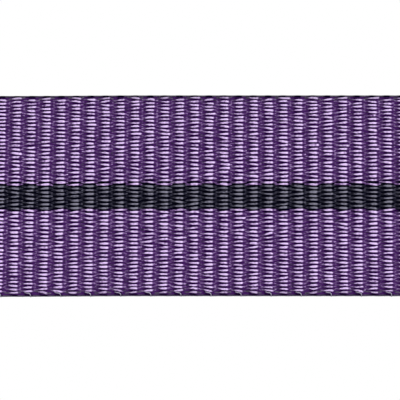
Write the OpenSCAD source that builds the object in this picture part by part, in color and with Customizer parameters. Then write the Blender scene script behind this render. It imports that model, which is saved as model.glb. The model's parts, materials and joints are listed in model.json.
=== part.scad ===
// Hanging medal: a brooch bar with a needle and a turning catch, a woven ribbon
// looped round a rail at each end, a slotted suspender and a swivelling round disc.
// +Z is up, X runs across the ribbon and the front faces -Y.
// The origin is on the axis of the closed needle, midway along the brooch bar.

/* [Ribbon] */
// Width of the ribbon
ribbon_w = 16; // [14:0.5:20]
// Thickness of the woven ribbon
ribbon_t = 0.65; // [0.5:0.05:0.7]
// Distance between the two rails that the ribbon hangs from and carries
ribbon_drop = 40; // [30:0.5:60]
// Length of each turned-back end of the ribbon, measured from its rail
tail_l = 7; // [6:0.5:10]
// Distance from each rail at which the two layers meet and are sewn
seam_h = 3; // [2.5:0.1:3.5]

/* [Brooch bar] */
// Height of the flat front plate
plate_h = 4.2; // [4:0.1:6]
// Thickness of the front plate
plate_t = 1.4; // [1.2:0.1:2]
// Height of the slot that the ribbon passes through
slot_h = 1.5; // [1.2:0.1:2.5]
// Radius of the round rail inside each ribbon loop
rail_r = 0.9; // [0.8:0.05:1]
// Width of the side cheek at each end of a rail
cheek_w = 1.6; // [1.4:0.1:2]

/* [Needle and catch] */
// Radius of the needle's shaft
needle_r = 0.4; // [0.35:0.01:0.42]
// Room for cloth between the needle's axis and the back of the plate
cloth_gap = 2.5; // [2.5:0.1:3]
// Distance of the needle's hinge from the middle of the bar
hinge_x = 7.5; // [6.5:0.1:7.5]
// Distance of the catch from the middle of the bar
catch_x = 6.6; // [5.6:0.1:6.6]

/* [Suspender and disc] */
// Height of the slot under the lower rail
suspender_slot_h = 2; // [1.8:0.1:3]
// Radius of the swivel stem
stem_r = 0.6; // [0.5:0.05:0.7]
// Radius of the disc
disc_r = 9.2; // [8:0.1:12]
// Thickness of the disc over its rim
rim_t = 2; // [1.8:0.1:2.4]
// Height that the rim stands above the field on each face
rim_rise = 0.4; // [0.2:0.05:0.5]

/* [Hidden] */
$fn = 96;

// small distances shared by several parts
eps = 0.02;
side_gap = 0.4;             // between a ribbon edge and a cheek
loop_gap = 0.1;             // between a rail and the ribbon round it
run_gap = 0.03;             // radial running clearance
axial_gap = 0.05;           // end play of a turning part

// where the main pieces lie
slot_w = ribbon_w + 2 * side_gap;
bar_w = slot_w + 2 * cheek_w;
bar_y = -(cloth_gap + plate_t / 2);
back_y = -cloth_gap;
corner_r = 0.8;             // scooped upper corners of the plate
panel_side = 1.5;           // border left beside the recessed panel
panel_top = 0.7;            // border left above and below it
panel_deep = 0.3;
top_rail_z = -(plate_h / 2 + slot_h + rail_r);
low_rail_z = top_rail_z - ribbon_drop;

// the ribbon's loop: its legs leave the circle at leg_a from the vertical
loop_in = rail_r + loop_gap;
loop_out = loop_in + ribbon_t;
leg_a = asin(loop_in / seam_h);
bend_h = (loop_out - ribbon_t * cos(leg_a)) / sin(leg_a);

// stitching rows
thread_r = 0.13;
stitch_l = 1.1;
stitch_pitch = 1.6;
stitch_n = 9;
stitch_h = seam_h + 0.6;

// needle hinge, with its rivet along Z
eye_r = 1;
eye_t = 1;
ear_r = 0.85;
ear_t = 0.6;
rivet_r = 0.35;
rivet_head_r = 0.6;
rivet_head_t = 0.25;
rivet_bevel = 0.15;
foot_t = 0.5;
foot_h = 3;
hinge_foot_w = 3.2;
ear_z = eye_t / 2 + axial_gap;

// needle: a straight shaft, then a long tapered point
shaft_end = catch_x - 2;
point_end = catch_x + 3;
point_r = 0.06;

// catch, turning round the needle's axis
barrel_l = 1.8;
barrel_r = 1.6;
barrel_bore = 1.15;
rotor_run = 0.04;
rotor_r = barrel_bore - rotor_run;
rotor_bore = 0.62;
rotor_rim_r = 1.45;
rotor_rim_t = 0.3;
lever_t = 0.55;
lever_w = 0.7;
lever_l = 2.4;
lever_a = -60;
barrel_gate = 1.2;
rotor_gate = 1.1;
catch_foot_w = 2.8;
catch_neck_h = 1.8;

// suspender, measured down from the lower rail
low_bar_h = 1.4;
low_bar_t = 1.6;
low_bar_top = rail_r + suspender_slot_h;
low_bar_low = low_bar_top + low_bar_h;
boss_r = 1.6;
boss_drop = 0.7;
boss_low = low_bar_low + boss_drop;
scroll_r = [1.5, 1.1];
scroll_x = [3.6, 6.2];
scroll_wire_r = 0.35;
finial_r = 0.6;
cheek_t = 1.8;

// swivel, claw and disc, measured down from the lower rail
head_r = 1.15;
head_t = 0.7;
head_bevel = 0.35;
washer_r = 1.15;
washer_t = 0.3;
washer_top = boss_low + axial_gap;
claw_top = washer_top + washer_t + axial_gap;
collar_r = 1.3;
collar_h = 0.8;
bridge_w = 3.5;
bridge_h = 0.65;
bridge_lift = 0.1;
leaf_t = 0.5;
lobe_r = 1.15;
waist_w = 1.8;
ear_lobe_r = 0.75;
ear_lobe_x = 1.1;
disc_top = claw_top + collar_h + bridge_h - bridge_lift + axial_gap;
disc_z = low_rail_z - disc_top - disc_r;
pin_inset = 1.2;
pin_down = disc_top + pin_inset;
pin_r = 0.35;
pin_head_r = 0.55;
pin_head_t = 0.25;
pin_bevel = 0.2;
stem_deep = 1;
stem_end = claw_top + stem_deep;

// relief on the disc
field_t = rim_t - 2 * rim_rise;
rim_w = 0.7;
relief_h = 0.28;
star_points = 8;
star_r = 3.9;
star_in = 0.42;
wreath_r = 6.1;
leaf_pairs = 9;
leaf_l = 2;
leaf_w = 0.8;
leaf_spread = 0.62;
leaf_step = 15.5;
leaf_first = 20;
leaf_lean = 32;

silver = "silver";
nickel = "lightsteelblue";
purple = "#6e5483";

// Draws a YZ outline as a plate of width w centred on X = 0
module across(w) {
    rotate([90, 0, 90])
        translate([0, 0, -w / 2])
            linear_extrude(w)
                children();
}

// Draws an XZ outline as a plate that runs from y0 to y1
module depth(y0, y1) {
    translate([0, y1, 0])
        rotate([90, 0, 0])
            linear_extrude(y1 - y0)
                children();
}

// Cylinder along X from x0 to x1
module x_rod(x0, x1, r) {
    translate([x0, 0, 0])
        rotate([0, 90, 0])
            cylinder(h = x1 - x0, r = r);
}

// Cylinder along Y from y0 to y1
module y_rod(y0, y1, r) {
    translate([0, y1, 0])
        rotate([90, 0, 0])
            cylinder(h = y1 - y0, r = r);
}

// Box given by its two opposite corners
module box(lo, hi) {
    translate(lo)
        cube(hi - lo);
}

// Outline of a cheek: a strip with a round end at the rail
module cheek_outline(length) {
    circle(r = cheek_t / 2);
    translate([-cheek_t / 2, 0])
        square([cheek_t, length]);
}

module brooch_bar() {
    color(silver) {
        difference() {
            translate([0, 0, -plate_h / 2])
                depth(bar_y - plate_t / 2, bar_y + plate_t / 2)
                    difference() {
                        translate([-bar_w / 2, 0])
                            square([bar_w, plate_h]);
                        for (x = [-1, 1])
                            translate([x * bar_w / 2, plate_h])
                                circle(r = corner_r);
                    }
            // recessed panel that leaves a raised border
            box(
                [-bar_w / 2 + panel_side, bar_y - plate_t, -plate_h / 2 + panel_top],
                [bar_w / 2 - panel_side, bar_y - plate_t / 2 + panel_deep, plate_h / 2 - panel_top]
            );
        }
        translate([0, bar_y, top_rail_z])
            x_rod(-slot_w / 2 - eps, slot_w / 2 + eps, rail_r);
        for (x = [-1, 1])
            translate([x * (slot_w + cheek_w) / 2, bar_y, top_rail_z])
                across(cheek_w)
                    cheek_outline(rail_r + slot_h + eps);
    }
}

module needle_hinge() {
    color(silver)
        translate([-hinge_x, 0, 0])
            difference() {
                union() {
                    box(
                        [-hinge_foot_w / 2, back_y, -foot_h / 2],
                        [hinge_foot_w / 2, back_y + foot_t, foot_h / 2]
                    );
                    for (z = [-ear_z - ear_t, ear_z])
                        translate([0, 0, z]) {
                            cylinder(h = ear_t, r = ear_r);
                            box([-ear_r, back_y, 0], [ear_r, 0, ear_t]);
                        }
                }
                translate([0, 0, -foot_h])
                    cylinder(h = 2 * foot_h, r = rivet_r);
            }
}

module hinge_rivet() {
    half = ear_z + ear_t;
    color(nickel)
        translate([-hinge_x, 0, 0]) {
            translate([0, 0, -half])
                cylinder(h = 2 * half, r = rivet_r);
            for (turn = [0, 180])
                rotate([turn, 0, 0])
                    translate([0, 0, half])
                        cylinder(h = rivet_head_t, r1 = rivet_head_r, r2 = rivet_head_r - rivet_bevel);
        }
}

module needle() {
    color(nickel)
        difference() {
            union() {
                translate([-hinge_x, 0, -eye_t / 2])
                    cylinder(h = eye_t, r = eye_r);
                x_rod(-hinge_x + rivet_r, shaft_end, needle_r);
                translate([shaft_end, 0, 0])
                    rotate([0, 90, 0])
                        cylinder(h = point_end - shaft_end, r1 = needle_r, r2 = point_r);
            }
            translate([-hinge_x, 0, -eye_t])
                cylinder(h = 2 * eye_t, r = rivet_r + run_gap);
        }
}

module catch_barrel() {
    color(silver)
        translate([catch_x, 0, 0])
            difference() {
                union() {
                    x_rod(-barrel_l / 2, barrel_l / 2, barrel_r);
                    box(
                        [-barrel_l / 2, back_y, -catch_neck_h / 2],
                        [barrel_l / 2, 0, catch_neck_h / 2]
                    );
                    box(
                        [-catch_foot_w / 2, back_y, -foot_h / 2],
                        [catch_foot_w / 2, back_y + foot_t, foot_h / 2]
                    );
                }
                x_rod(-barrel_l, barrel_l, barrel_bore);
                // gate through which the needle enters
                box([-barrel_l, 0, -barrel_gate / 2], [barrel_l, 2 * barrel_r, barrel_gate / 2]);
            }
}

module catch_rotor() {
    rim_x = barrel_l / 2 + axial_gap;
    color(nickel)
        translate([catch_x, 0, 0])
            difference() {
                union() {
                    x_rod(-rim_x - eps, rim_x + eps, rotor_r);
                    x_rod(-rim_x - rotor_rim_t, -rim_x, rotor_rim_r);
                    x_rod(rim_x, rim_x + lever_t, rotor_rim_r);
                    rotate([lever_a, 0, 0]) {
                        box([rim_x, 0, -lever_w / 2], [rim_x + lever_t, lever_l - lever_w / 2, lever_w / 2]);
                        translate([0, lever_l - lever_w / 2, 0])
                            x_rod(rim_x, rim_x + lever_t, lever_w / 2);
                    }
                }
                x_rod(-2 * barrel_l, 2 * barrel_l, rotor_bore);
                box(
                    [-2 * barrel_l, 0, -rotor_gate / 2],
                    [2 * barrel_l, 2 * barrel_r, rotor_gate / 2]
                );
            }
}

// One loop of the ribbon round a rail at the origin, hanging down to the seam
module loop_outline() {
    n = [-cos(leg_a), -sin(leg_a)];
    flip = [-n[0], n[1]];
    difference() {
        union() {
            circle(r = loop_out);
            polygon([loop_out * n, [-ribbon_t, -bend_h], [ribbon_t, -bend_h], loop_out * flip]);
        }
        circle(r = loop_in);
        polygon([loop_in * n, [0, -seam_h], loop_in * flip, [0, 0]]);
    }
}

module ribbon() {
    color(purple)
        translate([0, bar_y, top_rail_z])
            across(ribbon_w) {
                loop_outline();
                translate([-ribbon_t, -tail_l])
                    square([2 * ribbon_t, tail_l - bend_h + eps]);
                translate([-ribbon_t, -ribbon_drop + bend_h - eps])
                    square([ribbon_t, ribbon_drop - 2 * bend_h + 2 * eps]);
                translate([-ribbon_t, -ribbon_drop + bend_h - eps])
                    square([2 * ribbon_t, tail_l - bend_h + eps]);
                translate([0, -ribbon_drop])
                    mirror([0, 1])
                        loop_outline();
            }
}

// One row of stitches on both faces of the doubled ribbon
module stitch_row() {
    for (i = [0:stitch_n - 1], y = [-1, 1])
        translate([(i - (stitch_n - 1) / 2) * stitch_pitch, y * (ribbon_t + thread_r), 0])
            x_rod(-stitch_l / 2, stitch_l / 2, thread_r);
}

module top_stitching() {
    color(purple)
        translate([0, bar_y, top_rail_z - stitch_h])
            stitch_row();
}

module bottom_stitching() {
    color(purple)
        translate([0, bar_y, low_rail_z + stitch_h])
            stitch_row();
}

// Half ring of wire below the origin, in the XZ plane
module scroll(r) {
    rotate([90, 0, 0])
        rotate([0, 0, 180])
            rotate_extrude(angle = 180)
                translate([r, 0])
                    circle(r = scroll_wire_r);
}

module suspender() {
    color(silver)
        translate([0, bar_y, low_rail_z])
            difference() {
                union() {
                    x_rod(-slot_w / 2 - eps, slot_w / 2 + eps, rail_r);
                    for (x = [-1, 1]) {
                        translate([x * (slot_w + cheek_w) / 2, 0, 0])
                            mirror([0, 0, 1])
                                across(cheek_w)
                                    cheek_outline(low_bar_low);
                        for (i = [0:1])
                            translate([x * scroll_x[i], 0, -low_bar_low + eps])
                                scroll(scroll_r[i]);
                        translate([x * (bar_w / 2 - cheek_w / 2), 0, -low_bar_low])
                            sphere(r = finial_r);
                    }
                    box(
                        [-slot_w / 2 - eps, -low_bar_t / 2, -low_bar_low],
                        [slot_w / 2 + eps, low_bar_t / 2, -low_bar_top]
                    );
                    translate([0, 0, -boss_low])
                        cylinder(h = boss_low - low_bar_top, r = boss_r);
                }
                translate([0, 0, -boss_low - eps])
                    cylinder(h = boss_low - low_bar_top + 2 * eps, r = stem_r + run_gap);
            }
}

module swivel_stem() {
    head_low = -low_bar_top + axial_gap;
    color(nickel)
        translate([0, bar_y, low_rail_z]) {
            translate([0, 0, -stem_end])
                cylinder(h = stem_end + head_low + eps, r = stem_r);
            translate([0, 0, head_low])
                cylinder(h = head_t, r1 = head_r, r2 = head_r - head_bevel);
        }
}

module swivel_washer() {
    color(nickel)
        translate([0, bar_y, low_rail_z - washer_top - washer_t])
            difference() {
                cylinder(h = washer_t, r = washer_r);
                translate([0, 0, -washer_t])
                    cylinder(h = 3 * washer_t, r = stem_r + run_gap);
            }
}

// Front outline of one leaf of the claw, measured down from the lower rail
module claw_leaf() {
    translate([-bridge_w / 2, -claw_top - collar_h - bridge_h])
        square([bridge_w, bridge_h + bridge_lift]);
    translate([0, -pin_down])
        circle(r = lobe_r);
    translate([-waist_w / 2, -pin_down])
        square([waist_w, pin_down - claw_top - collar_h]);
    for (x = [-1, 1])
        translate([x * ear_lobe_x, -pin_down + ear_lobe_r])
            circle(r = ear_lobe_r);
}

module claw() {
    half = rim_t / 2;
    color(silver)
        translate([0, bar_y, low_rail_z])
            difference() {
                union() {
                    translate([0, 0, -claw_top - collar_h])
                        cylinder(h = collar_h, r = collar_r);
                    box(
                        [-bridge_w / 2, -half - leaf_t, -claw_top - collar_h - bridge_h + bridge_lift],
                        [bridge_w / 2, half + leaf_t, -claw_top - collar_h + bridge_lift]
                    );
                    depth(-half - leaf_t, -half)
                        claw_leaf();
                    depth(half, half + leaf_t)
                        claw_leaf();
                }
                translate([0, 0, -stem_end])
                    cylinder(h = stem_end, r = stem_r);
                translate([0, 0, -pin_down])
                    y_rod(-2 * rim_t, 2 * rim_t, pin_r);
            }
}

module claw_pin() {
    half = rim_t / 2 + leaf_t;
    color(nickel)
        translate([0, bar_y, low_rail_z - pin_down]) {
            y_rod(-half, half, pin_r);
            for (turn = [90, -90])
                rotate([turn, 0, 0])
                    translate([0, 0, half])
                        cylinder(h = pin_head_t, r1 = pin_head_r, r2 = pin_head_r - pin_bevel);
        }
}

module star_outline() {
    polygon([
        for (i = [0:2 * star_points - 1])
            let (r = i % 2 == 0 ? star_r : star_r * star_in, a = 90 + i * 180 / star_points)
                [r * cos(a), r * sin(a)]
    ]);
}

// Pointed leaf along +Y, as the overlap of two circles
module leaf_outline() {
    far = (leaf_l * leaf_l / leaf_w + leaf_w) / 4;
    intersection() {
        translate([far - leaf_w / 2, 0])
            circle(r = far);
        translate([-far + leaf_w / 2, 0])
            circle(r = far);
    }
}

// Two branches of leaves that rise from the bottom on each side
module wreath_outline() {
    for (side = [-1, 1], i = [0:leaf_pairs - 1], lean = [-1, 1])
        rotate(180 + side * (leaf_first + i * leaf_step))
            translate([0, wreath_r + lean * leaf_spread])
                rotate(side * (90 - lean * leaf_lean))
                    leaf_outline();
}

module disc() {
    color(silver)
        translate([0, bar_y, disc_z])
            difference() {
                union() {
                    rotate([90, 0, 0])
                        rotate_extrude() {
                            translate([0, -field_t / 2])
                                square([disc_r - eps, field_t]);
                            translate([disc_r - rim_w, -rim_t / 2])
                                square([rim_w, rim_t]);
                        }
                    depth(-field_t / 2 - relief_h, 0) {
                        star_outline();
                        wreath_outline();
                    }
                }
                translate([0, 0, disc_r - (pin_down - disc_top)])
                    y_rod(-2 * rim_t, 2 * rim_t, pin_r);
            }
}

brooch_bar();
needle_hinge();
hinge_rivet();
needle();
catch_barrel();
catch_rotor();
ribbon();
top_stitching();
bottom_stitching();
suspender();
swivel_stem();
swivel_washer();
claw();
claw_pin();
disc();
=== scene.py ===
"""Looks for the hanging medal: the woven ribbon in full, and finishes for the metal parts."""

import json
import math

import bpy
import numpy as np
from mathutils import Matrix, Vector


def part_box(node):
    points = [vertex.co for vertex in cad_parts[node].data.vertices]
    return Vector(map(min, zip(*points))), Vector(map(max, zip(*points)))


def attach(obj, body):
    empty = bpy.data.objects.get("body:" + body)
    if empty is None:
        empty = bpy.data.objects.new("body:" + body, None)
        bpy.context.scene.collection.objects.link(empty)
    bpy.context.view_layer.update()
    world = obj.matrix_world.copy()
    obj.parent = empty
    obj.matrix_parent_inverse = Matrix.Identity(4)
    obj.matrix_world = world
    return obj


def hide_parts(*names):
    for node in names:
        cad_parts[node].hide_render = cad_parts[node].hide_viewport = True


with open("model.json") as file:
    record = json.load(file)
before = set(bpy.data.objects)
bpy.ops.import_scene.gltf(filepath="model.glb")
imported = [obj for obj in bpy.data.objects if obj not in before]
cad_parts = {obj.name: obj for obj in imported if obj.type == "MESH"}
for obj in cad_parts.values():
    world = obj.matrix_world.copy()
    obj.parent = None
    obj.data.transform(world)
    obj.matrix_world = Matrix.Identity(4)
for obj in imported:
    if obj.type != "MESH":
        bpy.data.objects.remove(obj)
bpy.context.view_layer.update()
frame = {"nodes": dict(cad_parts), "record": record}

MM = 0.001
rng = np.random.default_rng(1717)

# ---------------------------------------------------------------- places taken from the frame
joints = {j["name"]: j for j in frame["record"]["behaviour"]["joints"]}
TOP_RAIL = np.array(joints["ribbon_swing"]["pos_m"])
LOW_RAIL = np.array(joints["suspender_swing"]["pos_m"])
ribbon_lo, ribbon_hi = (np.array(v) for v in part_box("ribbon"))

RIBBON_W = ribbon_hi[0] - ribbon_lo[0]
RIBBON_T = 0.65 * MM
LOOP_OUT = ribbon_hi[2] - TOP_RAIL[2]  # from a rail's axis to the outside of its loop
LOOP_MID = LOOP_OUT - RIBBON_T / 2
TAIL_L = 7 * MM  # from a rail's axis to the end of the tail
SEAM_H = 3 * MM  # from a rail's axis to where the inner faces of the loop's legs meet
LEG_A = math.asin((LOOP_OUT - RIBBON_T) / SEAM_H)
BEND_R = 1.5 * MM
DROP = TOP_RAIL[2] - LOW_RAIL[2]

# ---------------------------------------------------------------- the weave
RIB_PITCH = 1.192 * MM
ENDS = 103
LEFT_ENDS = 47  # purple ends before the stripe
STRIPE_ENDS = 12
RIGHT_FROM = LEFT_ENDS + STRIPE_ENDS
SPAN = 7.75 * MM  # from the middle end to the outermost one
EDGE_PACK = 0.127  # how much closer the ends lie at the edges than in the middle
OFF_ALL, OFF_MIDDLE = 0.048, 0.096  # mm that all ends lie to the left, and what the middle ones add
CREST = 0.25 * MM
SIDES = 6
# of the rib pitch, from a rib's middle to where its floats dive: steeply above, gently below
DIVE_UP, DIVE_DOWN = 0.285, 0.262
STATIONS = (0.0, 0.12, 0.20, 0.24, 0.275, 0.5, 0.70, 0.735, 0.79, 0.89)  # a yarn's rings in a rib pitch
LEAN, LEAN_GAIN = 0.0068, 0.00104  # a rib's slope at the middle of the front run, and its change in a mm
LEAN_LEAST, LEAN_MOST = -0.010, 0.022
SWAY, SWAY_FROM, SWAY_RUN = 0.05 * MM, 4 * MM, 12 * MM
END_GAP = 0.02 * MM  # the least distance from the strip's ends to a yarn's first and last rings

# a float's form: it falls to its ends, is wider than the yarn beside it, tapers down and comes to a point
FLOAT_FALL, FLOAT_WIDER, FLOAT_TAPER, WIDE_SHARE = 0.4, 0.08, 0.25, 0.35
POINT_ABOVE, POINT_BELOW, POINT_VARY = 0.04, 0.20, 0.40
YARN_HALF, FLOAT_THINNER = 0.070, 0.005  # mm, half a yarn's thickness and what it loses over a rib
YARN_FLAT = 0.7  # a power: the less, the flatter a yarn's section

ZONE_TONE = 0.30  # of a yarn between two floats
# painted light and shade: the painted light a float's middle adds to that tone and how much of it is lost in
# a pitch downwards, and the painted shade on its flanks and below
FLOAT_PAINTED_LIGHT, PAINTED_LIGHT_FALL, FLANK_PAINTED_SHADE, UNDER_PAINTED_SHADE = 0.57, 0.45, 0.03, 0.24
EDGE_GREY, GREY_LOSS = {0: 1.0, 1: 0.4}, 0.6  # how grey the outermost ends are, and how much less on floats

# how much the floats differ from each other, as standard deviations
LONG_VARY, MOVE_VARY, HIGH_VARY, WIDE_VARY = 0.07, 0.022, 0.04, 0.15
SIDE_VARY, SLANT_VARY, BOW_VARY = 0.014 * MM, 0.060 * MM, 0.22 * MM
TONE_VARY, ZONE_VARY = 0.10, 0.07
LOOSE_ENDS, LOOSE = 3, 1.8  # so many outermost ends differ so many times more
EDGE_LONGER = {0: 0.25, ENDS - 1: -0.12}  # how much longer than others the outermost ends' floats are
STRAY_LEFT, STRAY_REST = 0.028, 0.012  # share of the floats that start early
STRAY_L, STRAY_VARY = 0.08, 0.09  # how early at least, and the most that chance adds, of two pitches


# ---------------------------------------------------------------- the ribbon's path
def strip_path():
    """The middle of the strip, from the upper tail's end to the lower one's.

    It is a list of straight and round stretches: (length, turn in radians).
    """
    bend = BEND_R * LEG_A
    cut = BEND_R * math.tan(LEG_A / 2)
    half = RIBBON_T / 2
    corner = (LOOP_MID - half * math.cos(LEG_A)) / math.sin(LEG_A)
    touch = np.array([LOOP_MID * math.cos(LEG_A), -LOOP_MID * math.sin(LEG_A)])
    leg = np.linalg.norm(touch - [half, -corner]) - cut
    loop_turn = math.pi + 2 * LEG_A
    end = [
        (TAIL_L - corner - cut, 0),
        (bend, LEG_A),
        (leg, 0),
        (LOOP_MID * loop_turn, -loop_turn),
        (leg, 0),
        (bend, LEG_A),
    ]
    run = DROP - 2 * (corner + cut)
    return end + [(run, 0)] + end[::-1]


PATH = strip_path()
STRIP_L = sum(p[0] for p in PATH)
FRONT_MID = STRIP_L / 2
RIBS = int(round(STRIP_L / RIB_PITCH))
RIB_0 = (FRONT_MID + 0.512 * MM) % (2 * RIB_PITCH)


def place(s):
    """For distances s along the strip: points (y, z) and the headings, 0 along +Z and positive towards +Y."""
    s = np.asarray(s, float)
    y = np.full(s.shape, TOP_RAIL[1] + RIBBON_T / 2)
    z = np.full(s.shape, TOP_RAIL[2] - TAIL_L)
    head = np.zeros(s.shape)
    left = s.copy()
    for i, (length, turn) in enumerate(PATH):
        # the last stretch runs on, so that no distance is past its end
        step = left if i == len(PATH) - 1 else np.minimum(left, length)
        step = np.maximum(step, 0)
        if turn == 0:
            y = y + step * np.sin(head)
            z = z + step * np.cos(head)
        else:
            r = length / turn
            new = head + step / r
            y = y + r * (np.cos(head) - np.cos(new))
            z = z + r * (np.sin(new) - np.sin(head))
            head = new
        left = left - length
    return y, z, head


def ribbon_points(s, x, h):
    """Points at distance s along the strip, x across it and h above its middle on the face side."""
    y, z, head = place(s)
    # the face side is outside the loops: on the front run it looks along -Y
    return np.stack([x, y + h * np.cos(head), z - h * np.sin(head)], axis=-1)


def smooth(t):
    """A soft step from 0 to 1 while t goes from 0 to 1."""
    t = np.clip(t, 0, 1)
    return t * t * (3 - 2 * t)


def rib_shift(s, x):
    """How far the ribs lean, which changes evenly down the front run."""
    return np.clip(LEAN + LEAN_GAIN * (s - FRONT_MID) / MM, LEAN_LEAST, LEAN_MOST) * x


def sway(s):
    """Small sideways wander of the whole strip, below the middle of the front run."""
    return SWAY * smooth((s - FRONT_MID - SWAY_FROM) / SWAY_RUN)


def arch(u):
    """Height of a yarn over a rib at u pitches from its middle, as a share of the crest."""
    up = np.sqrt(np.clip(1 - (np.abs(u) / DIVE_UP) ** 10, 0, 1))
    down = np.clip(1 - (np.abs(u) / DIVE_DOWN) ** 6, 0, 1) ** 0.6
    return np.where(u < 0, up, down)


def end_x(j):
    """Where end j lies across the ribbon. The ends crowd together towards the edges."""
    mid = (ENDS - 1) / 2
    t = (j - mid) / mid
    even = SPAN * (t - EDGE_PACK * t**3 / 3) / (1 - EDGE_PACK / 3)
    return even - (OFF_ALL + OFF_MIDDLE * (1 - t * t)) * MM


# ---------------------------------------------------------------- meshes
def new_mesh(name, points, faces):
    """A smooth-shaded object from points and four-sided faces."""
    mesh = bpy.data.meshes.new(name)
    mesh.vertices.add(len(points))
    mesh.vertices.foreach_set("co", np.asarray(points, np.float32).ravel())
    faces = np.asarray(faces, np.int32)
    n, k = faces.shape
    mesh.loops.add(n * k)
    mesh.loops.foreach_set("vertex_index", faces.ravel())
    mesh.polygons.add(n)
    mesh.polygons.foreach_set("loop_start", np.arange(0, n * k, k, dtype=np.int32))
    mesh.polygons.foreach_set("use_smooth", np.full(n, True))
    mesh.update(calc_edges=True)
    mesh.validate()
    ob = bpy.data.objects.new(name, mesh)
    bpy.context.scene.collection.objects.link(ob)
    return ob


def add_attribute(ob, name, values):
    """A number for each point of a mesh, which its material reads by name."""
    att = ob.data.attributes.new(name, "FLOAT", "POINT")
    att.data.foreach_set("value", np.asarray(values, np.float32).ravel())


def tube_faces(rings, base):
    """Faces of a tube of rings of SIDES points, counted from base and closed at both ends."""
    ring = np.arange(SIDES)
    after = (ring + 1) % SIDES
    rows = base + np.arange(rings - 1)[:, None] * SIDES
    quads = np.stack([rows + ring, rows + SIDES + ring, rows + SIDES + after, rows + after], axis=-1)
    caps = []
    for row in (base + ring, base + (rings - 1) * SIDES + ring[::-1]):
        caps += [row[[0, 1, 2, 5]], row[[5, 2, 3, 4]]]
    return np.concatenate([quads.reshape(-1, 4), np.array(caps)])


def tube_points(path, radius):
    """Rings of points round a path of points."""
    path = np.asarray(path, float)
    ahead = np.gradient(path, axis=0)
    ahead /= np.linalg.norm(ahead, axis=1)[:, None]
    guide = np.array([1.0, 0, 0]) if abs(ahead[0, 0]) < 0.7 else np.array([0, 0, 1.0])
    one = guide - ahead[0] * (guide @ ahead[0])
    ones = []
    for a in ahead:
        one = one - a * (one @ a)
        one = one / np.linalg.norm(one)
        ones.append(one)
    ones = np.array(ones)
    two = np.cross(ahead, ones)
    ang = np.arange(SIDES) / SIDES * 2 * np.pi
    ring = ones[:, None] * np.cos(ang)[None, :, None] + two[:, None] * np.sin(ang)[None, :, None]
    return (path[:, None] + ring * radius).reshape(-1, 3)


TUBE_STEP, TUBE_SIDE = 0.05 * MM, 0.1 * MM  # what a point along a path and a side count for in the texture
# painted light and shade: each tube is painted lighter on one side and darker on the opposite side
TUBE_ROUND_SHADE = 0.2  # how much the tone changes round a tube


def tubes(name, paths, radius, levels=0.5):
    """One mesh of closed tubes along the paths, with a tone level for each point of a path."""
    points, faces, along, tones, base = [], [], [], [], 0
    # painted shade round each ring
    round_shade = TUBE_ROUND_SHADE * np.cos(np.arange(SIDES) * 2 * np.pi / SIDES)
    for path in paths:
        tones.append((np.broadcast_to(levels, len(path))[:, None] + round_shade).ravel())
        points.append(tube_points(path, radius))
        # a tube's rings go round the other way from a warp yarn's
        faces.append(tube_faces(len(path), base)[:, [0, 3, 2, 1]])
        along.append(np.repeat(np.arange(len(path)), SIDES) * TUBE_STEP + base * MM)
        base += len(points[-1])
    ob = new_mesh(name, np.concatenate(points), np.concatenate(faces))
    add_attribute(ob, "along", np.concatenate(along))
    add_attribute(ob, "across", np.tile(np.arange(SIDES) * TUBE_SIDE, base // SIDES))
    add_attribute(ob, "tone", np.concatenate(tones))
    return ob


def slab(name, first, second):
    """A closed slab between two grids of points."""
    n, m = first.shape[:2]
    idx = np.arange(n * m).reshape(n, m)
    grid = np.stack([idx[:-1, :-1], idx[1:, :-1], idx[1:, 1:], idx[:-1, 1:]], axis=-1).reshape(-1, 4)
    edge = np.concatenate([idx[:, 0], idx[-1, 1:], idx[::-1, -1][1:], idx[0, ::-1][1:]])
    walls = np.stack([edge[:-1], edge[1:], edge[1:] + n * m, edge[:-1] + n * m], axis=-1)
    points = np.concatenate([first.reshape(-1, 3), second.reshape(-1, 3)])
    return new_mesh(name, points, np.concatenate([grid[:, ::-1], grid + n * m, walls]))


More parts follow.
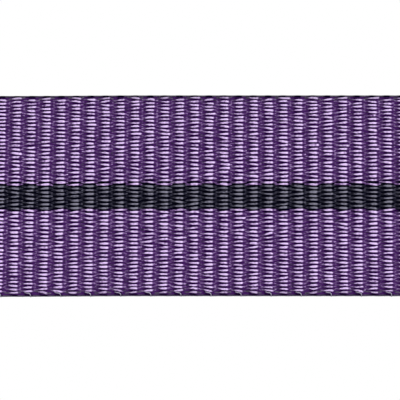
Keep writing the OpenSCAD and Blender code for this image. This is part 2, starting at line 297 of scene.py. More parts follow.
# ---------------------------------------------------------------- warp and weft
def yarn_line(j):
    """The middle line of one warp end and what each of its points needs to become a ring.

    Returns s, h, half_w, half_t, x, lift, side, a float's painted highlight with its random tone, and dull
    for every point.
    """
    gap = (end_x(j + 1) - end_x(j - 1)) / 2
    loose = LOOSE if min(j, ENDS - 1 - j) < LOOSE_ENDS else 1.0
    rib = np.arange(-1, RIBS + 2)
    n = len(rib)
    stray_share = STRAY_LEFT if j < LEFT_ENDS else STRAY_REST
    rib_long = 1 + LONG_VARY * loose * rng.standard_normal(n) + EDGE_LONGER.get(j, 0)
    rib_stray = np.where(rng.random(n) < stray_share, STRAY_L + STRAY_VARY * rng.random(n), 0)
    rib_move = MOVE_VARY * loose * rng.standard_normal(n)
    rib_high = 1 + HIGH_VARY * loose * rng.standard_normal(n)
    rib_wide = 1 + WIDE_VARY * rng.standard_normal(n)
    rib_side = SIDE_VARY * loose * rng.standard_normal(n)
    rib_slant = SLANT_VARY * loose * rng.standard_normal(n)
    rib_bow = BOW_VARY * loose * rng.standard_normal(n)
    rib_tone = TONE_VARY * rng.standard_normal(n)
    rib_point = POINT_BELOW + POINT_VARY * rng.random(n)
    zone_tone = ZONE_VARY * rng.standard_normal(n)

    # each point belongs to the nearer rib, and local is its distance from that rib in pitches
    u = np.array(STATIONS)
    near = np.where(u <= 0.5, 0, 1)
    zone = np.repeat(np.arange(n - 1), len(u))
    which = zone + np.tile(near, n - 1)
    local = np.tile(u - near, n - 1)
    side = np.where((rib[which] + j) % 2 == 0, 1.0, -1.0)
    lift = arch(local)
    middle = 1 - 2 * np.abs(local)

    stretch = rib_long[which].clip(0.75, 1.35)
    s = RIB_0 + (rib[which] + local * (1 + (stretch - 1) * middle) + rib_move[which] * middle) * RIB_PITCH
    s = s - np.where(local < 0, rib_stray[which], 0) * smooth(-4 * local) * middle * 2 * RIB_PITCH
    fall = np.clip((0.5 - np.abs(local)) / 0.2, 0, 1)
    h = 0.5 * fall + 0.5 * lift - FLOAT_FALL * (local + 0.1) ** 2 * lift
    h = side * CREST * h * rib_high[which]
    point = np.where(local > 0, rib_point[which], POINT_ABOVE)
    point = point * smooth(np.abs(local) / 0.30) * (lift > 0.01)
    wider = FLOAT_WIDER - FLOAT_TAPER * local + WIDE_SHARE * (rib_wide[which] - 1)
    half_w = gap * (0.50 + wider * lift - 0.5 * point)
    half_t = (YARN_HALF - FLOAT_THINNER * lift) * MM
    x = end_x(j) + rib_side[which] * middle + rib_slant[which] * local + rib_bow[which] * local**2 * middle
    # a float's painted highlight, stronger towards its upper end, with its own random tone
    painted_light_and_tone = FLOAT_PAINTED_LIGHT + rib_tone[which] - PAINTED_LIGHT_FALL * local
    keep = (s > END_GAP) & (s < STRIP_L - END_GAP)
    return (v[keep] for v in (s, h, half_w, half_t, x, lift, side, painted_light_and_tone, zone_tone[zone]))


def warp_yarn(j):
    """One warp end as rings of SIDES points, with s, tone, offset across and grey for every point."""
    s, h, half_w, half_t, x, lift, side, painted_light_and_tone, dull = yarn_line(j)
    # across the yarn: a rounded flat section, set square to its own path
    slope = np.arctan2(np.gradient(h), np.gradient(s))
    s, h, half_w, half_t, x, lift, side, painted_light_and_tone, dull, slope = (
        v[:, None] for v in (s, h, half_w, half_t, x, lift, side, painted_light_and_tone, dull, slope)
    )
    around = np.arange(SIDES) / SIDES * 2 * np.pi
    flat = np.sign(np.cos(around)) * np.abs(np.cos(around)) ** YARN_FLAT
    off_n = half_t * np.sin(around)
    S = s - off_n * np.sin(slope)
    H = h + off_n * np.cos(slope)
    X = x + half_w * flat
    # a float's outer side is painted lighter as a highlight, and its flanks and its under side are painted
    # darker as shade
    out = side * np.sin(around)
    tone = ZONE_TONE + dull + lift**1.6 * painted_light_and_tone * (out > 0.5)
    tone = tone - lift**4 * (FLANK_PAINTED_SHADE * (np.abs(out) < 0.5) + UNDER_PAINTED_SHADE * (out < -0.5))
    S = S + rib_shift(S, X)
    X = X + sway(S)
    grey = EDGE_GREY.get(min(j, ENDS - 1 - j), 0.0) * (1 - GREY_LOSS * lift)
    return ribbon_points(S, X, H), S, tone, X - x, np.broadcast_to(grey, S.shape)


def warp_piece(name, ends):
    """One mesh of the warp yarns with these numbers."""
    faces, base = [], 0
    columns = {"point": [], "along": [], "tone": [], "across": [], "grey": []}
    for j in ends:
        points, s, tone, across, grey = warp_yarn(j)
        faces.append(tube_faces(len(points), base))
        base += len(points) * SIDES
        values = (points.reshape(-1, 3), s.ravel(), tone.ravel(), across.ravel() + j * 10 * MM, grey.ravel())
        for column, value in zip(columns.values(), values):
            column.append(value)
    ob = new_mesh(name, np.concatenate(columns.pop("point")), np.concatenate(faces))
    for key, column in columns.items():
        add_attribute(ob, key, np.concatenate(column))
    return ob


WEFT_HALF, WEFT_RIB = 0.035, 0.075  # mm, half the weft's thickness between the ribs and what a rib adds
RIB_STEPS = 8  # rows of points in a rib pitch
WEFT_GAP = 0.03 * MM  # from the strip's ends
WEFT_OVER = 0.03 * MM  # beyond the ribbon's edges
WEFT_ROUND = 0.10 * MM  # the width over which the weft thins towards its edge
# painted shadow: the weft is painted black this far in from its edges
SHADOW_RIM = 0.14 * MM  # how far in from its edges the weft is black
# painted shade: the weft is darker on a rib, where it lies deep in the gaps between the floats
GAP_SHADE_TONE = 0.35  # of the weft on a rib, where it is 1 between the ribs and -1 where it is black


def weft_body():
    """The weft: one closed sheet, thick at each rib and thin between, which shows in the gaps of the warp;
    its dark colours are painted shade.
    """
    s = np.linspace(WEFT_GAP, STRIP_L - WEFT_GAP, RIBS * RIB_STEPS + 1)
    half = RIBBON_W / 2 + WEFT_OVER
    rim = np.array([1, 0.997, 0.989, 0.980, 0.978])
    across = np.concatenate([-rim, np.linspace(-0.96, 0.96, 23), rim[::-1]]) * half
    S, X = np.meshgrid(s, across, indexing="ij")
    u = (S - RIB_0) / RIB_PITCH
    u = np.abs(u - np.round(u))
    inside = np.clip((half - np.abs(X)) / WEFT_ROUND, 0, 1)
    thick = (WEFT_HALF + WEFT_RIB * arch(u)) * MM
    thick = thick * np.sqrt(0.15 + 0.85 * inside)
    S_lean = S + rib_shift(S, X)
    X_sway = X + sway(S_lean)
    ob = slab("ribbon_weft", ribbon_points(S_lean, X_sway, thick), ribbon_points(S_lean, X_sway, -thick))
    stripe_lo, stripe_hi = end_x(LEFT_ENDS - 0.5), end_x(RIGHT_FROM - 0.5)
    # painted black under the stripe, and as painted shadow along the edges
    black = ((X > stripe_lo) & (X < stripe_hi)) | (np.abs(X) > half - SHADOW_RIM)
    # painted shade, darkest on the ribs
    gap_shade = GAP_SHADE_TONE + (1 - GAP_SHADE_TONE) * (1 - arch(u))
    add_attribute(ob, "tone", np.tile(np.where(black, -1.0, gap_shade).ravel(), 2))
    add_attribute(ob, "along", np.tile(S.ravel(), 2))
    add_attribute(ob, "across", np.tile(X.ravel(), 2))
    return ob


# ---------------------------------------------------------------- shader nodes
def make_material(name):
    """A new material, its node tree and its surface shader."""
    mat = bpy.data.materials.new(name)
    mat.use_nodes = True
    return mat, mat.node_tree, mat.node_tree.nodes["Principled BSDF"]


def feed(nt, node, inputs):
    """Sets a node's inputs, each to a plain value or to another node's output."""
    for key, value in inputs.items():
        if isinstance(value, bpy.types.NodeSocket):
            nt.links.new(value, node.inputs[key])
        else:
            node.inputs[key].default_value = value


def add_node(nt, kind, inputs):
    """A new shader node with its inputs."""
    node = nt.nodes.new("ShaderNode" + kind)
    feed(nt, node, inputs)
    return node


def attribute(nt, name):
    """The value of a mesh's own attribute."""
    node = nt.nodes.new("ShaderNodeAttribute")
    node.attribute_name = name
    return node.outputs["Fac"]


def maths(nt, operation, *values):
    """The result of an operation on numbers and other nodes' outputs."""
    node = nt.nodes.new("ShaderNodeMath")
    node.operation = operation
    feed(nt, node, dict(enumerate(values)))
    return node.outputs[0]


def mix_colour(nt, factor, one, two, blend="MIX"):
    """Two colours, mixed or multiplied."""
    node = nt.nodes.new("ShaderNodeMix")
    node.data_type = "RGBA"
    node.blend_type = blend
    feed(nt, node, {"Factor": factor, "A": one, "B": two})
    return node.outputs["Result"]


def ramp(nt, value, stops):
    """The colour that a ramp with these stops gives for a value."""
    node = nt.nodes.new("ShaderNodeValToRGB")
    elements = node.color_ramp.elements
    while len(elements) < len(stops):
        elements.new(0.5)
    for element, (position, colour) in zip(elements, stops):
        element.position = position
        element.color = (*colour, 1)
    feed(nt, node, {"Fac": value})
    return node.outputs["Color"]


def map_range(nt, value, old, new):
    """A value taken from the range old to the range new."""
    limits = {"From Min": old[0], "From Max": old[1], "To Min": new[0], "To Max": new[1]}
    return add_node(nt, "MapRange", {"Value": value, **limits}).outputs["Result"]


def bump(nt, height, strength, depth):
    """The normal of a fine relief."""
    return add_node(nt, "Bump", {"Height": height, "Strength": strength, "Distance": depth}).outputs["Normal"]


# ---------------------------------------------------------------- yarns
FILAMENTS = 5000.0, 14000.0  # noise scales along and across a yarn
FILAMENT_TONE = 1.6
GREY_EDGE = (0.05, 0.042, 0.065, 1)
GREY_MOST = 0.8


def yarn_material(name, dark, mid, light, rough=0.42, gloss=0.6, sheen=0.1):
    """Yarn whose colour goes from dark to light with its tone, with fine filaments that run along it."""
    mat, nt, bsdf = make_material(name)
    along = maths(nt, "MULTIPLY", attribute(nt, "along"), FILAMENTS[0])
    across = maths(nt, "MULTIPLY", attribute(nt, "across"), FILAMENTS[1])
    where = add_node(nt, "CombineXYZ", {0: along, 1: across}).outputs[0]
    filaments = add_node(nt, "TexNoise", {"Scale": 1.0, "Detail": 2.0, "Vector": where}).outputs["Fac"]
    tone = maths(nt, "MULTIPLY_ADD", filaments, FILAMENT_TONE, attribute(nt, "tone"))
    tone = maths(nt, "SUBTRACT", tone, FILAMENT_TONE / 2)
    colour = ramp(nt, tone, [(0.0, dark), (ZONE_TONE, mid), (0.95, light)])
    grey = maths(nt, "MULTIPLY", attribute(nt, "grey"), GREY_MOST)
    inputs = {
        "Base Color": mix_colour(nt, grey, colour, GREY_EDGE),
        "Normal": bump(nt, filaments, 0.5, 0.02 * MM),
        "Roughness": rough,
        "Specular IOR Level": gloss,
        "Sheen Weight": sheen,
        "Sheen Roughness": 0.4,
    }
    feed(nt, bsdf, inputs)
    return mat


PURPLE = yarn_material(
    "purple_yarn",
    dark=(0.008, 0.0003, 0.026),
    mid=(0.082, 0.019, 0.143),
    light=(0.60, 0.44, 0.745),
    gloss=0.42,
    sheen=0.03,
)
BLACK = yarn_material(
    "black_yarn",
    dark=(0.0005, 0.0005, 0.005),
    mid=(0.004, 0.0035, 0.017),
    light=(0.160, 0.155, 0.206),
    gloss=0.24,
    sheen=0.02,
)
# the weft's dark colours are painted shade: they stand for the dark depth of the gaps between the warp yarns
WEFT_PAINTED_SHADE = yarn_material(
    "weft_painted_shade",
    dark=(0.001, 0.001, 0.005),
    mid=(0.013, 0.0008, 0.032),
    light=(0.044, 0.011, 0.085),
    rough=0.9,
    gloss=0.02,
    sheen=0,
)

weft = weft_body()
weft.data.materials.append(WEFT_PAINTED_SHADE)
right_mid = (RIGHT_FROM + ENDS) // 2
groups = {
    "warp_left_a": range(0, LEFT_ENDS // 2),
    "warp_left_b": range(LEFT_ENDS // 2, LEFT_ENDS),
    "warp_stripe": range(LEFT_ENDS, RIGHT_FROM),
    "warp_right_a": range(RIGHT_FROM, right_mid),
    "warp_right_b": range(right_mid, ENDS),
}
warps = []
for name, ends in groups.items():
    ob = warp_piece(name, ends)
    ob.data.materials.append(BLACK if "stripe" in name else PURPLE)
    warps.append(ob)

# ---------------------------------------------------------------- selvedges and stitching
# the weft's loop lies beside the last end, then turns over the edge: mm along, across and up, and its tone,
# which is painted darker as shade where the loop turns over the edge and under
EDGE_LOOP = np.array([
    (0.22, 7.66, 0.27, 0.5),
    (0.05, 7.71, 0.30, 0.5),
    (-0.12, 7.73, 0.31, 0.5),
    (-0.22, 7.80, 0.29, 0.5),
    (-0.25, 7.90, 0.23, 0.35),
    (-0.25, 8.00, 0.13, 0.05),
    (-0.25, 8.06, 0.0, -0.1),
    (-0.25, 8.00, -0.13, -0.2),
    (-0.25, 7.86, -0.24, -0.2),
])
EDGE_LOOP_R = 0.034 * MM
EDGE_LOOP_GAP = 0.3 * MM  # from the strip's ends
CORD_IN, CORD_WIND, CORD_HIGH, CORD_R = 0.035 * MM, 0.03 * MM, 0.055 * MM, 0.05 * MM
CORD_GAP = 0.1 * MM  # from the strip's ends
CORD_PHASE = {-1: 0.0, 1: 1.2}  # of the left edge and of the right one


def loop_paths():
    """A loop of the weft over the right edge at every second rib."""
    paths = []
    along, across, up = (EDGE_LOOP[:, i] * MM for i in range(3))
    for k in range(1, RIBS, 2):
        s = RIB_0 + k * RIB_PITCH + along
        if s.min() > EDGE_LOOP_GAP and s.max() < STRIP_L - EDGE_LOOP_GAP:
            s = s + rib_shift(s, across)
            paths.append(ribbon_points(s, across + sway(s), up))
    return paths


def cord_paths():
    """Two strands that wind round each other along each edge."""
    paths = []
    s = np.linspace(CORD_GAP, STRIP_L - CORD_GAP, RIBS * RIB_STEPS)
    for edge, phase in CORD_PHASE.items():
        for ply in (0, np.pi):
            turn = 2 * np.pi * (s - RIB_0) / (2 * RIB_PITCH) + phase + ply
            x = edge * (RIBBON_W / 2 - CORD_IN + CORD_WIND * np.cos(turn))
            s_lean = s + rib_shift(s, x)
            paths.append(ribbon_points(s_lean, x + sway(s_lean), CORD_HIGH * np.sin(turn)))
    return paths


STITCH_N, STITCH_PITCH, STITCH_L, STITCH_H = 9, 1.6 * MM, 1.1 * MM, 3.6 * MM
STITCH_TILT, STITCH_DIVE = 0.05 * MM, 2.4  # the dive is in radii of the thread
THREAD_R = 0.13 * MM
PLY_R, PLY_OFF, PLY_TURN = 0.072 * MM, 0.06 * MM, 3.2 * np.pi


def stitch_paths(z):
    """Two twisted plies for each stitch of a row, on both faces of the doubled ribbon."""
    paths = []
    t = np.linspace(-1, 1, 19)
    dive = THREAD_R * STITCH_DIVE * np.abs(t) ** 6
    for i in range(STITCH_N):
        for face in (-1, 1):
            for ply in (0, np.pi):
                turn = PLY_TURN * t + ply + i
                x = (i - (STITCH_N - 1) / 2) * STITCH_PITCH + t * STITCH_L / 2
                y = TOP_RAIL[1] + face * (RIBBON_T + THREAD_R - dive) + PLY_OFF * np.cos(turn) * face
                up = z + PLY_OFF * np.sin(turn) + STITCH_TILT * t * (-1) ** i
                paths.append(np.stack([x, y, up], axis=-1))
    return paths


weft_loops = tubes("weft_loops", loop_paths(), EDGE_LOOP_R, levels=EDGE_LOOP[:, 3])
selvedges = tubes("selvedges", cord_paths(), CORD_R)
top_stitches = tubes("top_stitches", stitch_paths(TOP_RAIL[2] - STITCH_H), PLY_R)
bottom_stitches = tubes("bottom_stitches", stitch_paths(LOW_RAIL[2] + STITCH_H), PLY_R)
THREAD = yarn_material(
    "sewing_thread",
    dark=(0.03, 0.012, 0.06),
    mid=(0.16, 0.085, 0.25),
    light=(0.30, 0.20, 0.42),
    rough=0.5,
)
LOOP = yarn_material(
    "loop_thread",
    dark=(0.02, 0.017, 0.028),
    mid=(0.24, 0.21, 0.30),
    light=(0.42, 0.38, 0.50),
    rough=0.5,
)
CORD = yarn_material(
    "selvedge_thread",
    dark=(0.008, 0.005, 0.013),
    mid=(0.030, 0.020, 0.045),
    light=(0.085, 0.060, 0.115),
    rough=0.55,
    gloss=0.3,
)
for ob, mat in ((top_stitches, THREAD), (bottom_stitches, THREAD), (weft_loops, LOOP), (selvedges, CORD)):
    ob.data.materials.append(mat)

for ob in [weft, *warps, weft_loops, selvedges]:
    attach(ob, "ribbon")
for ob, node in ((top_stitches, "top_stitching"), (bottom_stitches, "bottom_stitching")):
    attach(ob, "ribbon")
    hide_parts(node)
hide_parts("ribbon")


# ---------------------------------------------------------------- metal finishes
CLOUD, GRAIN = 420, 9000  # noise scales of the tarnish and of the grain
SCRATCHES = (900, 9000, 9000)  # long along X and fine across it
GRIME = (0.10, 0.095, 0.09)


def metal(name, light, dark, rough, scratch=0.25, cavity=False):
    """Metal with soft tarnish, fine scratches along X and a grain.

    With cavity, the low places of a relief are darker.
    """
    mat, nt, bsdf = make_material(name)
    where = nt.nodes.new("ShaderNodeTexCoord").outputs["Object"]
    drawn = add_node(nt, "Mapping", {"Vector": where, "Scale": SCRATCHES}).outputs["Vector"]
    cloud = add_node(nt, "TexNoise", {"Scale": CLOUD, "Detail": 4, "Vector": where}).outputs["Fac"]
    lines = add_node(nt, "TexNoise", {"Scale": 1, "Detail": 3, "Vector": drawn}).outputs["Fac"]
    grain = add_node(nt, "TexNoise", {"Scale": GRAIN, "Detail": 2, "Vector": where}).outputs["Fac"]
    colour = ramp(nt, cloud, [(0.30, dark), (0.62, light)])
    if cavity:
        shade = ramp(nt, attribute(nt, "cavity"), [(0.0, (1, 1, 1)), (1.0, GRIME)])
        colour = mix_colour(nt, 1.0, colour, shade, blend="MULTIPLY")
    inputs = {
        "Base Color": colour,
        "Roughness": map_range(nt, cloud, (0.3, 0.7), (rough * 1.35, rough * 0.8)),
        "Normal": bump(nt, maths(nt, "MULTIPLY_ADD", grain, 0.4, lines), scratch, 0.01 * MM),
        "Metallic": 1.0,
    }
    feed(nt, bsdf, inputs)
    return mat


SILVER = metal("satin_silver", (0.52, 0.51, 0.49), (0.42, 0.41, 0.39), 0.24)
WORN = metal("worn_edges", (0.76, 0.75, 0.73), (0.64, 0.63, 0.61), 0.20, 0.12)
NICKEL = metal("polished_nickel", (0.66, 0.64, 0.60), (0.54, 0.525, 0.49), 0.14, 0.10)
STRUCK = metal("struck_silver", (0.60, 0.59, 0.565), (0.49, 0.475, 0.45), 0.24, 0.15, cavity=True)
RELIEF = metal("chased_silver", (0.42, 0.41, 0.39), (0.34, 0.33, 0.31), 0.38, 0.15, cavity=True)

# each node's metal, and the width in mm of its worn edges
FINISH = {
    "brooch_bar": (SILVER, 0.12),
    "needle_hinge": (SILVER, 0.05),
    "catch_barrel": (SILVER, 0.05),
    "suspender": (SILVER, 0.10),
    "claw": (SILVER, 0.06),
    "hinge_rivet": (NICKEL, 0.04),
    "needle": (NICKEL, 0.03),
    "catch_rotor": (NICKEL, 0.04),
    "swivel_stem": (NICKEL, 0.05),
    "swivel_washer": (NICKEL, 0.04),
    "claw_pin": (NICKEL, 0.04),
}
for node, (mat, edge) in FINISH.items():
    ob = frame["nodes"][node]
    ob.data.materials.clear()
    ob.data.materials.append(mat)
    ob.data.materials.append(WORN)
    bevel = ob.modifiers.new("edges", "BEVEL")
    bevel.width = edge * MM
    bevel.segments = 2
    bevel.limit_method = "ANGLE"
    bevel.angle_limit = math.radians(35)
    bevel.material = 1


# ---------------------------------------------------------------- what the reliefs share, in mm
disc_lo, disc_hi = (np.array(v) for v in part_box("disc"))
DISC_MID = (disc_lo + disc_hi) / 2
DISC_R = (disc_hi[0] - disc_lo[0]) / 2 / MM
RIM_H = (disc_hi[1] - disc_lo[1]) / 2 / MM
FIELD_H, FIELD_DOME = 0.6, 0.03
RIM_R, RIM_ROUND = DISC_R - 0.7, 0.16
EDGE_H = 0.45  # height at which the two faces meet the middle of the edge
AROUND = 480
# the star's points, its radius, the notches' share of it, and the radius of the boss in its middle
STAR_POINTS, STAR_R, STAR_IN, STAR_BOSS = 8, 3.9, 0.42, 0.85
STAR_FOOT, STAR_RISE, BOSS_H = 0.07, 0.30, 0.46
LEAF_PAIRS, LEAF_FIRST, LEAF_STEP, LEAF_LEAN = 9, 20.0, 15.5, 32.0  # angles in degrees
WREATH_R, LEAF_SPREAD, LEAF_L, LEAF_W = 6.1, 0.62, 2.0, 0.86
STEM_FROM, STEM_W, STEM_H = 4, 0.26, 0.16  # the stem starts so many degrees from the disc's lowest point
BERRY_R, BERRY_H, BERRY_OUT, BERRY_IN = 0.16, 0.16, 1.02, 1.0
TIE_TURN, TIE_HALF, TIE_H, TIE_GROOVE = 7.5, 0.62, 0.25, 0.03
BEAD_AT, BEAD_N, BEAD_R = 8.02, 96, 0.235
FRONT_BEAD_H, BACK_BEAD_H = 0.22, 0.20
FIELD_GRIME = 0.42  # how dark the flat field is, next to the deepest places
# radius, width and height of the raised lines
FRONT_LINES = ((7.55, 0.16, 0.09), (4.5, 0.14, 0.07))
BACK_LINES = ((7.55, 0.16, 0.09), (5.6, 0.30, 0.12), (5.25, 0.10, 0.05))


def step_up(d, width):
    """0 outside an edge, 1 inside it, where d is the distance inwards."""
    return smooth(d / width + 0.5)


def dome(d2, radius, high):
    """The height of a round bead at a squared distance d2 from its middle."""
    return high * np.sqrt(np.clip(1 - d2 / radius**2, 0, 1))


def ring_line(r, at, width, high):
    """The height of a raised line round the disc."""
    return dome((r - at) ** 2, width / 2, high)


def bead_ring(r, a, high):
    """The height of a circle of beads."""
    pitch = 2 * np.pi / BEAD_N
    off = (a / pitch - np.round(a / pitch)) * pitch * BEAD_AT
    return dome((r - BEAD_AT) ** 2 + off**2, BEAD_R, high)


def soften(rows, size, mode):
    """Each row smoothed over this odd number of samples."""
    bell = np.hanning(size) / np.hanning(size).sum()
    half = size // 2
    padded = np.pad(rows, ((0, 0), (half, half)), mode)
    return np.stack([np.convolve(row, bell, "same")[half:-half] for row in padded])


def star_height(x, z):
    """Flat facets that fall from the middle to an outline of points and notches."""
    a = np.arctan2(x, z) * STAR_POINTS / np.pi
    i = np.floor(a)
    one = np.pi / STAR_POINTS
    tip = np.where(i % 2 == 0, STAR_R, STAR_R * STAR_IN)
    dip = np.where(i % 2 == 0, STAR_R * STAR_IN, STAR_R)
    a0, a1 = i * one, (i + 1) * one
    x0, z0, x1, z1 = tip * np.sin(a0), tip * np.cos(a0), dip * np.sin(a1), dip * np.cos(a1)
    along = (x * (z1 - z0) - z * (x1 - x0)) / (x0 * z1 - x1 * z0)
    inside = 1 - np.abs(along)
    return np.where(inside > 0, STAR_FOOT + STAR_RISE * inside, 0) * step_up(inside, 0.05)


def leaf_height(x, z, cx, cz, ang):
    """A pointed, domed leaf with a midrib and side veins, centred at (cx, cz) and pointing along ang."""
    dx, dz = x - cx, z - cz
    u = dx * math.cos(ang) + dz * math.sin(ang)
    v = -dx * math.sin(ang) + dz * math.cos(ang)
    t = np.clip(u / (LEAF_L / 2), -1, 1)
    half = LEAF_W / 2 * np.clip(1 - np.abs(t) ** 2.2, 0, 1) ** 0.8 * (1 - 0.15 * t)
    inside = np.clip(1 - (v / np.maximum(half, 0.02)) ** 2, 0, 1) * (np.abs(u) < LEAF_L / 2)
    rib = np.exp(-((v / 0.05) ** 2))
    veins = 0.5 + 0.5 * np.cos((u - 0.9 * np.abs(v)) / 0.22 * 2 * np.pi)
    return inside**0.5 * (0.25 + 0.05 * (1 - t)) - 0.07 * rib * (inside > 0.1) - 0.03 * veins * (inside > 0.2)


# ---------------------------------------------------------------- the struck disc, in mm
def branch_height(r, x, z, side):
    """One branch of the wreath, with its pairs of leaves and its berries. Side is -1 or 1."""
    turn = np.degrees(np.arctan2(side * x, -z))
    stem = (turn > STEM_FROM) & (turn < LEAF_FIRST + LEAF_STEP * (LEAF_PAIRS - 0.6))
    up = stem * ring_line(r, WREATH_R, STEM_W, STEM_H)
    for i in range(LEAF_PAIRS):
        at = LEAF_FIRST + i * LEAF_STEP
        g = math.radians(180 - side * at)
        ahead = np.array([math.cos(g), -math.sin(g)]) * -side
        out = np.array([math.sin(g), math.cos(g)])
        for lean in (-1, 1):
            rr = WREATH_R + lean * LEAF_SPREAD
            tip = ahead * math.cos(math.radians(LEAF_LEAN)) + out * lean * math.sin(math.radians(LEAF_LEAN))
            leaf = leaf_height(x, z, rr * math.sin(g), rr * math.cos(g), math.atan2(tip[1], tip[0]))
            up = np.maximum(up, leaf)
        g = math.radians(180 - side * (at + LEAF_STEP * 0.42))
        for rr in (WREATH_R + BERRY_OUT, WREATH_R - BERRY_IN):
            d2 = (x - rr * math.sin(g)) ** 2 + (z - rr * math.cos(g)) ** 2
            up = np.maximum(up, dome(d2, BERRY_R, BERRY_H))
    return up


def tie_height(r, x, z):
    """The tie where the two branches cross."""
    turn = np.degrees(np.arctan2(np.abs(x), -z))
    tie = step_up(TIE_TURN - turn, 1.2) * step_up(TIE_HALF - np.abs(r - WREATH_R), 0.1)
    return tie * (TIE_H + TIE_GROOVE * np.cos((r - WREATH_R) / 0.3 * 2 * np.pi))


def front_height(r, a):
    """Star, wreath, lines and beads."""
    x, z = r * np.sin(a), r * np.cos(a)
    h = FIELD_H + FIELD_DOME * (r / RIM_R) ** 2 + sum(ring_line(r, *line) for line in FRONT_LINES)
    h = h + bead_ring(r, a, FRONT_BEAD_H)
    up = np.maximum(star_height(x, z), dome(r**2, STAR_BOSS, BOSS_H))
    for side in (-1, 1):
        up = np.maximum(up, branch_height(r, x, z, side))
    return h + np.maximum(up, tie_height(r, x, z))


def back_height(r, a):
    """Only lines and beads."""
    h = FIELD_H + FIELD_DOME * (r / RIM_R) ** 2 + sum(ring_line(r, *line) for line in BACK_LINES)
    return h + bead_ring(r, a, BACK_BEAD_H)


def rim_profile():
    """Radii and heights of the raised rim, from its foot inside to the middle of the edge."""
    c = RIM_ROUND
    arc = np.linspace(0, np.pi / 2, 5)
    inner = [(RIM_R - 0.06, FIELD_H + 0.03), (RIM_R, FIELD_H + 0.16)]
    inner += [(RIM_R + c * (1 - math.cos(t)), RIM_H - c * (1 - math.sin(t))) for t in arc]
    outer = [(DISC_R - c * (1 - math.sin(t)), RIM_H - c * (1 - math.cos(t))) for t in arc]
    return inner + outer + [(DISC_R, EDGE_H)]


def disc_side(height, stretches, sign):
    """Rows of points of one face, from the middle to the edge, and how dark with grime each is."""
    radii = np.concatenate([np.linspace(*stretch) for stretch in stretches])
    rim = np.array(rim_profile())
    a = np.arange(AROUND) / AROUND * 2 * np.pi
    R, A = np.meshgrid(np.concatenate([radii, rim[:, 0]]), a, indexing="ij")
    H = height(R, A)
    H[len(radii):] = rim[:, 1:]
    around = soften(H, 17, "wrap")
    both = soften(around.T, 9, "edge").T
    cavity = np.clip((both - H) / 0.09, 0, 1)
    cavity = np.maximum(cavity, FIELD_GRIME * (R < RIM_R) * np.clip(1 - (H - FIELD_H) / 0.10, 0, 1))
    pts = np.stack([R * np.sin(A), -sign * H, R * np.cos(A)], axis=-1) * MM + DISC_MID
    return pts, cavity


# first radius, last radius and number of rows of each stretch of a face
FIELD_END = RIM_R - 0.12
FINE_ROWS = ((0.05, 4.6, 54), (4.68, 7.5, 58), (7.56, FIELD_END, 22))
PLAIN_ROWS = ((0.3, 5.0, 8), (5.1, 5.9, 14), (6.1, 7.4, 4), (7.46, FIELD_END, 20))


def struck_disc():
    """Both faces and the rim as one closed mesh."""
    front, front_cavity = disc_side(front_height, FINE_ROWS, 1)
    back, back_cavity = disc_side(back_height, PLAIN_ROWS, -1)
    rows = np.concatenate([front, back[::-1]])
    n = len(rows)
    idx = np.arange(n * AROUND).reshape(n, AROUND)
    after = np.roll(idx, -1, axis=1)
    quads = np.stack([idx[:-1], idx[1:], after[1:], after[:-1]], axis=-1).reshape(-1, 4)
    c0, c1 = n * AROUND, n * AROUND + 1
    mids = np.array([DISC_MID + (0, -(FIELD_H + BOSS_H) * MM, 0), DISC_MID + (0, FIELD_H * MM, 0)])
    caps = []
    for i in range(0, AROUND, 2):
        caps.append([c0, idx[0, i], idx[0, (i + 1) % AROUND], idx[0, (i + 2) % AROUND]])
        caps.append([c1, idx[-1, (i + 2) % AROUND], idx[-1, (i + 1) % AROUND], idx[-1, i]])
    pts = np.concatenate([rows.reshape(-1, 3), mids])
    ob = new_mesh("struck_disc", pts, np.concatenate([quads, np.array(caps)]))
    add_attribute(ob, "cavity", np.concatenate([front_cavity.ravel(), back_cavity[::-1].ravel(), [0, 0.4]]))
    return ob


# ---------------------------------------------------------------- the bar's panel, in mm
# the height of the bar's plate, then its panel's distance from the sides and the top, and its depth
PLATE_H, PANEL_SIDE, PANEL_TOP, PANEL_DEEP = 4.2, 1.5, 0.7, 0.3
SPRAY_LEAVES, SPRAY_FIRST, SPRAY_STEP, SPRAY_OFF, SPRAY_LEAN = 8, 1.15, 0.80, 0.42, 30
SPRAY_SHRINK, SPRAY_FLAT = 1.35, 0.62  # its leaves are so many times smaller than the wreath's, and flatter
# the border's inset, its gaps along a long and a short edge, and a bead's radius and height
BORDER_IN, BORDER_LONG, BORDER_SHORT, BORDER_R, BORDER_H = 0.20, 44, 6, 0.17, 0.20
PANEL_FLOOR, PANEL_CLEAR = 0.02, 0.02  # the lowest place of the relief, and how far it stays below the plate


def spray_height(X, Z):
    """A laurel spray that grows both ways from a boss in the middle."""
    up = np.maximum(PANEL_FLOOR, dome(Z**2, 0.11, 0.10) * (np.abs(X) < 7.0))
    k = SPRAY_SHRINK
    for side in (-1, 1):
        for i in range(SPRAY_LEAVES):
            at = side * (SPRAY_FIRST + i * SPRAY_STEP) * k
            for lean in (-1, 1):
                ang = math.radians(90 - side * 90 + side * lean * SPRAY_LEAN)
                leaf = leaf_height(X * k, Z * k, at, lean * SPRAY_OFF * k, ang)
                up = np.maximum(up, PANEL_FLOOR + SPRAY_FLAT * leaf)
    return np.maximum(up, dome(X**2 + Z**2, 0.55, 0.24))


def bead_row(along, across, half_long, half_across, count):
    """Beads along the two edges that lie half_across from the middle."""
    pitch = 2 * (half_long - BORDER_IN) / count
    off = (along + half_long - BORDER_IN) / pitch
    off = (off - np.round(off)) * pitch
    return dome(off**2 + (np.abs(across) - (half_across - BORDER_IN)) ** 2, BORDER_R, BORDER_H)


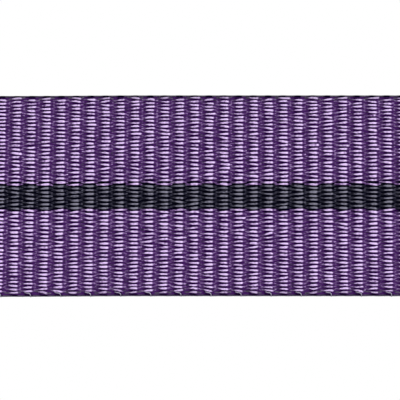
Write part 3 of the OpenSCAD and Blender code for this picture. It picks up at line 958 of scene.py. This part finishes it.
def bar_relief():
    """A laurel spray and a beaded border that fill the recessed panel of the brooch bar."""
    lo, hi = (np.array(v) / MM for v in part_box("brooch_bar"))
    half_x, half_z = (hi[0] - lo[0]) / 2 - PANEL_SIDE, PLATE_H / 2 - PANEL_TOP
    floor_y = lo[1] + PANEL_DEEP
    X, Z = np.meshgrid(np.linspace(-half_x, half_x, 341), np.linspace(-half_z, half_z, 57), indexing="ij")
    up = spray_height(X, Z)
    up = np.maximum(up, bead_row(X, Z, half_x, half_z, BORDER_LONG))
    up = np.maximum(up, bead_row(Z, X, half_z, half_x, BORDER_SHORT))
    up = np.minimum(up, PANEL_DEEP - PANEL_CLEAR)
    soft = soften(soften(up.T, 9, "edge").T, 9, "edge")
    cavity = np.maximum(np.clip((soft - up) / 0.07, 0, 1), 0.5 * (up < 0.05))
    low = np.stack([X, np.full(X.shape, floor_y + 0.05), Z], axis=-1)
    top = np.stack([X, floor_y - up, Z], axis=-1)
    ob = slab("bar_relief", low * MM, top * MM)
    add_attribute(ob, "cavity", np.concatenate([np.full(X.size, 0.5), cavity.ravel()]))
    return ob


relief = bar_relief()
relief.data.materials.append(RELIEF)
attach(relief, "brooch")

disc = struck_disc()
disc.data.materials.append(STRUCK)
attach(disc, "medal")
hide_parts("disc")

# ---------------------------------------------------------------- camera
scene = bpy.context.scene
scene.view_settings.view_transform = "Standard"
scene.view_settings.look = "None"

VIEW_W = 31.92 * MM  # the length of ribbon across the picture
VIEW_OFF = 0.335 * MM
LENS, SENSOR = 150.0, 36.0
CAMERA_TURN = Matrix(((0, -1, 0), (0, 0, -1), (1, 0, 0)))  # the picture's right is +Z and its top is -X
FRONT_Y = TOP_RAIL[1] - RIBBON_T
MID_Z = (TOP_RAIL[2] + LOW_RAIL[2]) / 2

cam_data = bpy.data.cameras.new("camera")
cam_data.lens = LENS
cam_data.sensor_width = SENSOR
cam_data.clip_start = 0.001
cam_data.clip_end = 10
cam = bpy.data.objects.new("camera", cam_data)
scene.collection.objects.link(cam)
cam.location = (VIEW_OFF, FRONT_Y - VIEW_W * LENS / SENSOR, MID_Z)
cam.rotation_euler = CAMERA_TURN.to_euler()
scene.camera = cam


# ---------------------------------------------------------------- lights, floor and room
def area_light(name, at, aim, size, power):
    """A rectangular light that points at aim."""
    data = bpy.data.lights.new(name, "AREA")
    data.shape = "RECTANGLE"
    data.size, data.size_y = size
    data.energy = power
    ob = bpy.data.objects.new(name, data)
    scene.collection.objects.link(ob)
    ob.location = at
    ob.rotation_euler = (Vector(aim) - Vector(at)).to_track_quat("-Z", "Y").to_euler()


ribbon_mid = Vector((0, FRONT_Y, MID_Z))
medal_mid = Vector((0, 0, -0.03))
KEY_UP, KEY_FAR = math.radians(58), 0.6
key_at = ribbon_mid + KEY_FAR * Vector((0, -math.sin(KEY_UP), math.cos(KEY_UP)))
area_light("key", key_at, ribbon_mid, (0.40, 0.10), 3.7)
area_light("left_fill", (-0.40, -0.20, 0.10), medal_mid, (0.10, 0.40), 0.35)
area_light("right_rear", (0.30, 0.40, 0.15), medal_mid, (0.12, 0.35), 0.9)
area_light("left_rear", (-0.35, 0.30, -0.02), medal_mid, (0.08, 0.35), 0.5)

FLOOR_Z = disc_lo[2] - 0.3 * MM
FLOOR_R = 0.23
WHITE = (1, 1, 1, 1)
# what the metal mirrors, from straight below to straight above: a dim room that grows lighter overhead
ROOM = [
    (0.0, (0.20, 0.20, 0.20)),
    (0.42, (0.10, 0.10, 0.105)),
    (0.60, (0.30, 0.30, 0.31)),
    (1.0, (0.62, 0.62, 0.64)),
]


def floor_material():
    """A pale, faintly clouded floor."""
    mat, nt, bsdf = make_material("pale_floor")
    clouds = add_node(nt, "TexNoise", {"Scale": 60, "Detail": 6}).outputs["Fac"]
    colour = ramp(nt, clouds, [(0.3, (0.64, 0.64, 0.63)), (0.7, (0.68, 0.68, 0.67))])
    feed(nt, bsdf, {"Base Color": colour, "Roughness": 0.6})
    return mat


def room_world():
    """White behind the object, and a dim room for everything that isn't seen straight."""
    world = bpy.data.worlds.new("world")
    world.use_nodes = True
    nt = world.node_tree
    way = nt.nodes.new("ShaderNodeTexCoord").outputs["Generated"]
    up = add_node(nt, "SeparateXYZ", {0: way}).outputs["Z"]
    room = ramp(nt, map_range(nt, up, (-1.0, 1.0), (0.0, 1.0)), ROOM)
    seen = nt.nodes.new("ShaderNodeLightPath").outputs["Is Camera Ray"]
    feed(nt, nt.nodes["Background"], {"Color": mix_colour(nt, seen, room, WHITE)})
    return world


bpy.ops.mesh.primitive_circle_add(vertices=128, radius=FLOOR_R, fill_type="NGON", location=(0, 0, FLOOR_Z))
floor = bpy.context.object
floor.name = "floor"
floor.data.materials.append(floor_material())
scene.world = room_world()
